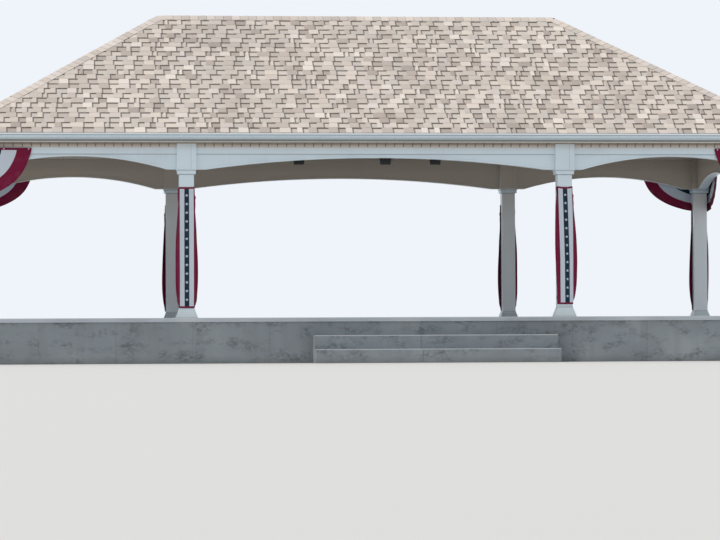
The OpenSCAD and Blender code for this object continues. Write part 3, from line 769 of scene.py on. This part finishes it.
def star(tree, x, y, radius):
    """1 inside a five-pointed star about the origin, tip up."""
    angle = add(tree, "Math", x, y, operation="ARCTAN2")
    angle = add(tree, "Math", angle, operation="ABSOLUTE")
    fold = add(tree, "Math", angle, math.pi / 5, operation="PINGPONG")
    shares = []
    for wave, share in zip(("COSINE", "SINE"), STAR_EDGE):
        turned = add(tree, "Math", fold, operation=wave)
        shares.append(add(tree, "Math", turned, share, operation="MULTIPLY"))
    edge = add(tree, "Math", *shares, operation="ADD")
    edge = add(tree, "Math", edge, length(tree, x, y), operation="MULTIPLY")
    tip = STAR_EDGE[0] * radius
    return add(tree, "MapRange", edge, tip - 0.0004, tip + 0.0004, 1, 0)


def banner_layout(tree, across, up):
    """Stripes by the distance from the middle line, a row of stars on it, and hems at the ends."""
    aside = add(tree, "Math", across, operation="ABSOLUTE")
    middle = add(tree, "Math", up, HANG / 2, operation="SUBTRACT")
    row = add(tree, "Math", middle, STAR_STEP, operation="DIVIDE")
    row = add(tree, "Math", row, operation="ROUND")
    local = add(tree, "Math", row, -STAR_STEP, middle, operation="MULTIPLY_ADD")
    end = add(tree, "Math", middle, operation="ABSOLUTE")
    return washes(
        tree,
        NAVY,
        (WHITE, past(tree, aside, NAVY_HALF)),
        (CRIMSON, past(tree, aside, WHITE_HALF)),
        (WHITE, star(tree, across, local, STAR_R)),
        (CRIMSON, past(tree, end, HANG / 2 - HEM)),
    )


def hang(piece, pinned, boxes, frames, push, weight=1.0):
    """Lets cloth hang: pinned vertices stay, the rest falls, pressed by a light air, and rests
    on the boxes."""
    held = piece.vertex_groups.new(name="held")
    held.add(pinned, 1.0, "REPLACE")
    solids = []
    for low, high in boxes:
        bm = bmesh.new()
        bmesh.ops.create_cube(bm, size=1)
        bmesh.ops.scale(bm, verts=bm.verts, vec=Vector(high) - Vector(low))
        bmesh.ops.translate(bm, verts=bm.verts, vec=(Vector(high) + Vector(low)) / 2)
        mesh = bpy.data.meshes.new("solid")
        bm.to_mesh(mesh)
        bm.free()
        solid = bpy.data.objects.new("solid", mesh)
        scene.collection.objects.link(solid)
        solid.modifiers.new("Collision", "COLLISION")
        solid.collision.thickness_outer = 0.004
        solids.append(solid)
    wind = bpy.data.objects.new("wind", None)
    scene.collection.objects.link(wind)
    wind.rotation_euler = Vector(push).to_track_quat("Z", "Y").to_euler()
    with bpy.context.temp_override(object=wind, active_object=wind):
        bpy.ops.object.forcefield_toggle()
    wind.field.type = "WIND"
    wind.field.strength = Vector(push).length
    wind.field.noise = 1.5
    wind.field.seed = 4
    soft = piece.modifiers.new("Cloth", "CLOTH")
    soft.settings.quality = 8
    soft.settings.mass = 0.12
    soft.settings.air_damping = 2
    soft.settings.tension_stiffness = soft.settings.compression_stiffness = 25
    soft.settings.shear_stiffness = 12
    soft.settings.bending_stiffness = 0.8
    soft.settings.effector_weights.gravity = weight
    soft.settings.vertex_group_mass = "held"
    soft.collision_settings.distance_min = 0.004
    soft.collision_settings.use_self_collision = False
    soft.point_cache.frame_end = frames
    for frame_at in range(1, frames + 1):
        scene.frame_set(frame_at)
    evaluated = piece.evaluated_get(bpy.context.evaluated_depsgraph_get())
    settled = bpy.data.meshes.new_from_object(evaluated)
    piece.modifiers.clear()
    piece.vertex_groups.clear()
    piece.data = settled
    for extra in [*solids, wind]:
        bpy.data.objects.remove(extra)
    scene.frame_set(1)


def banner_mesh(seed, sag, slant):
    """A banner on the front of a column at the origin, before it hangs: a grid whose borders
    bend back round the column at the ties and stand out between them."""
    bm = bmesh.new()
    uv = bm.loops.layers.uv.new("flat")
    half = FACE_HALF + BORDER
    bmesh.ops.create_grid(bm, x_segments=40, y_segments=120, size=1)
    for p in bm.verts:
        p.co = (p.co.x * half, (p.co.y + 1) / 2 * HANG, 0)
    for face in bm.faces:
        for loop in face.loops:
            loop[uv].uv = loop.vert.co.xy
    drift = random.Random(seed)
    waves = [
        (drift.uniform(3, 9), drift.uniform(0, 6), drift.uniform(0.001, 0.0025)) for _ in range(4)
    ]
    for p in bm.verts:
        share, up = p.co.y / HANG, p.co.y
        across = p.co.x + slant * min(1.0, (1 - share) * 1.6)
        # Nothing at the ties and 1 half way, which turns the borders out and slackens the cloth
        swell = max(0.0, math.sin(math.pi * share)) ** 0.7
        beyond = max(0.0, abs(across) - FACE_HALF)
        turn = math.radians(88) - math.radians(56) * swell
        x = min(abs(across), FACE_HALF) + beyond * math.cos(turn) + 0.003 * swell
        ripple = sum(d * math.sin(k * up + c + 9 * across) for k, c, d in waves) * swell
        bulge = 0.012 * swell * math.cos(across / FACE_HALF * 1.4)
        y = -FACE_HALF - 0.005 - bulge + beyond * math.sin(turn) + ripple
        slack = sag * max(0.0, 1 - (HANG - up) / 0.4) * (1 - min(1, abs(across) / FACE_HALF) ** 2)
        p.co = (math.copysign(x, across), min(y, 0.05), FOOT_Z + up - slack)
    return bm


banner_print = cloth("printed_cotton", banner_layout)
hung = []
for seed, sag, slant in ((3, 0.016, 0.0), (8, 0.003, 0.0), (5, 0.014, 0.032)):
    piece = shape("cut_banner", banner_mesh(seed, sag, slant), banner_print, smooth=True)
    heights = [v.co.z for v in piece.data.vertices]
    ends = [i for i, z in enumerate(heights) if z > TOP_Z - TIE or z < FOOT_Z + TIE]
    column = ((-FACE_HALF, -FACE_HALF, 0), (FACE_HALF, FACE_HALF, 3.1))
    hang(piece, ends, [column], 24, (-0.3 if seed == 8 else 0.3, -0.6, 0), 0.4)
    hung.append(piece)
PLACES = ("left_corner", "left", "right", "right_corner")
for i, (x, where_at) in enumerate(zip(COLUMN_X, PLACES)):
    for side, turn in (("front", 0), ("back", math.pi)):
        bm = bmesh.new()
        slanted = (side, where_at) == ("front", "right")
        bm.from_mesh(hung[2 if slanted else (i + (side == "back")) % 2].data)
        if slanted:
            # The one that slants is tied a little higher too, top and bottom
            for p in bm.verts:
                p.co.z = TOP_Z + 0.014 - (TOP_Z - p.co.z) * 0.986
        if where_at.endswith("corner"):
            # From 2.38 m up, behind the bunting fan, the borders lie close to the column
            close = FACE_HALF + 0.012
            for p in bm.verts:
                tuck = min(1.0, max(0.0, (p.co.z - 2.38) / 0.18))
                p.co.x -= math.copysign(max(0.0, abs(p.co.x) - close) * tuck, p.co.x)
        place = Matrix.Translation((x, -COLUMN_Y if side == "front" else COLUMN_Y, 0))
        place = place @ Matrix.Rotation(turn, 4, "Z")
        bmesh.ops.transform(bm, verts=bm.verts, matrix=place)
        bmesh.ops.solidify(bm, geom=bm.faces[:], thickness=CLOTH)
        piece = shape(f"{side}_{where_at}_banner", bm, banner_print, smooth=True)
        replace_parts(piece, "column_banners")
for piece in hung:
    bpy.data.objects.remove(piece)

# ---------------------------------------------------------------- Corner fans
# Half-round fans of the same cloth in broad bands, folded round each corner of the eaves:
# pinned along a taped top edge and hanging free below, with soft pleats from the middle.
FAN_WIDE, FAN_DROP = 1.25, 0.85
FAN_TOP, FAN_HEM = 3.437, 0.036
GATHER = (1.22 / FAN_WIDE, 0.745 / FAN_DROP)  # the two at the back are narrower and shorter
BLOCK_OUT = 0.155  # half of a header block's width
RECEDE = 0.045  # how far the ends of a fan, pinned to the beams, lie behind the block's face
FAN_BANDS = (0.615, 0.81)  # where navy gives way to white, and white to red
EYELETS = (0.39, 0.8, 1.19)  # distances of the eyelets from the corner
PROUD = 0.0105  # how far they stand out from the line of that face


def fan_layout(tree, across, down):
    """Bands by the share of the way to the fan's edge, and a red tape along its top."""
    wide = add(tree, "Math", across, FAN_WIDE, operation="DIVIDE")
    deep = add(tree, "Math", down, FAN_DROP, operation="DIVIDE")
    far = length(tree, wide, deep)
    return washes(
        tree,
        NAVY,
        (WHITE, past(tree, far, FAN_BANDS[0], 0.0008)),
        (CRIMSON, past(tree, far, FAN_BANDS[1], 0.0008)),
        (CRIMSON, add(tree, "MapRange", down, FAN_HEM, FAN_HEM + 0.001, 1, 0)),
    )


def recede(along):
    """How far the fan's top edge lies behind the block's face, at a distance from the corner."""
    return max(0.0, along - 2 * BLOCK_OUT) / (FAN_WIDE - 2 * BLOCK_OUT) * RECEDE


def fan_mesh():
    """A fan folded round the corner at the origin, whose sides run along +X and +Y."""
    bm = bmesh.new()
    uv = bm.loops.layers.uv.new("flat")
    bmesh.ops.create_grid(bm, x_segments=96, y_segments=26, size=1)
    for p in bm.verts:
        angle, far = (p.co.x + 1) / 2 * math.pi, 0.02 + 0.98 * (p.co.y + 1) / 2
        p.co = (-FAN_WIDE * far * math.cos(angle), FAN_DROP * far * math.sin(angle), far)
    for face in bm.faces:
        for loop in face.loops:
            loop[uv].uv = loop.vert.co.xy
    for p in bm.verts:
        across, down, far = p.co
        angle = math.atan2(down / FAN_DROP, across / FAN_WIDE)
        pleat = 0.006 * far * math.cos(angle * 26) * min(1, down / 0.15)
        along = abs(across)
        # The free side edges curl in below the top corner
        along -= 0.035 * math.exp(-(((down - 0.24) / 0.22) ** 2)) * (along / FAN_WIDE) ** 2
        out = 0.008 + pleat - recede(along) * (1 - down / FAN_DROP)
        # The fold stands clear of the block's edge
        corner = 0.0065 * math.exp(-along / 0.02)
        x, y = (along - corner, -out) if across >= 0 else (-out, along - corner)
        p.co = (x, y, FAN_TOP - down)
    return bm


fan_print = cloth("printed_bunting", fan_layout)
piece = shape("cut_fan", fan_mesh(), fan_print, smooth=True)
top = [v.index for v in piece.data.vertices if v.co.z > FAN_TOP - TIE]
block = ((0, 0, 3.09), (2 * BLOCK_OUT, 2 * BLOCK_OUT, 3.55))
beams = ((0.3, 0.055, 3.1), (1.5, 0.25, 3.5)), ((0.055, 0.3, 3.1), (0.25, 1.5, 3.5))
shaft_box = ((0.0375, 0.0375, 2.2), (0.2725, 0.2725, 3.1))
hang(piece, top, [block, *beams, shaft_box], 22, (-0.5, -0.5, 0))
eyelets = bmesh.new()
# Nickel plate: bright bare metal with a faint cloud
nickel, tree, shader = material("nickel_eyelet", 0.3, Metallic=1.0)
cloud = mottle(tree, add(tree, "TexCoord", out="Object"), 0.006)
surface(tree, shader, washes(tree, "DADDDF", ("BFC3C6", cloud)))
for sx, end in ((1, "right"), (-1, "left")):
    for sy, side in ((1, "back"), (-1, "front")):
        bm = bmesh.new()
        bm.from_mesh(piece.data)
        wide, tall = GATHER if side == "back" else (1, 1)
        out_x, out_y = COLUMN_X[-1] + BLOCK_OUT, COLUMN_Y + BLOCK_OUT
        corner = Matrix.Translation((sx * out_x, sy * out_y, FAN_TOP))
        turned = corner @ Matrix.Diagonal((-sx * wide, -sy * wide, tall, 1))
        turned = turned @ Matrix.Translation((0, 0, -FAN_TOP))
        bmesh.ops.transform(bm, verts=bm.verts, matrix=turned)
        for along in EYELETS:
            inward = recede(along) - PROUD
            for spot, axis in (((along, inward), "X"), ((inward, along), "Y")):
                ring = turned @ Matrix.Translation((*spot, FAN_TOP - FAN_HEM / 2))
                ring = ring @ Matrix.Rotation(math.pi / 2, 4, axis)
                bmesh.ops.create_cone(
                    eyelets, cap_ends=True, segments=16, radius1=0.012, radius2=0.009, depth=0.004,
                    matrix=ring,
                )
        if sx * sy < 0:
            bmesh.ops.reverse_faces(bm, faces=bm.faces)
        bmesh.ops.solidify(bm, geom=bm.faces[:], thickness=CLOTH)
        made = shape(f"{side}_{end}_fan", bm, fan_print, smooth=True)
        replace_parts(made, "corner_fans")
bpy.data.objects.remove(piece)
bmesh.ops.recalc_face_normals(eyelets, faces=eyelets.faces)
shape("fan_eyelets", eyelets, nickel)
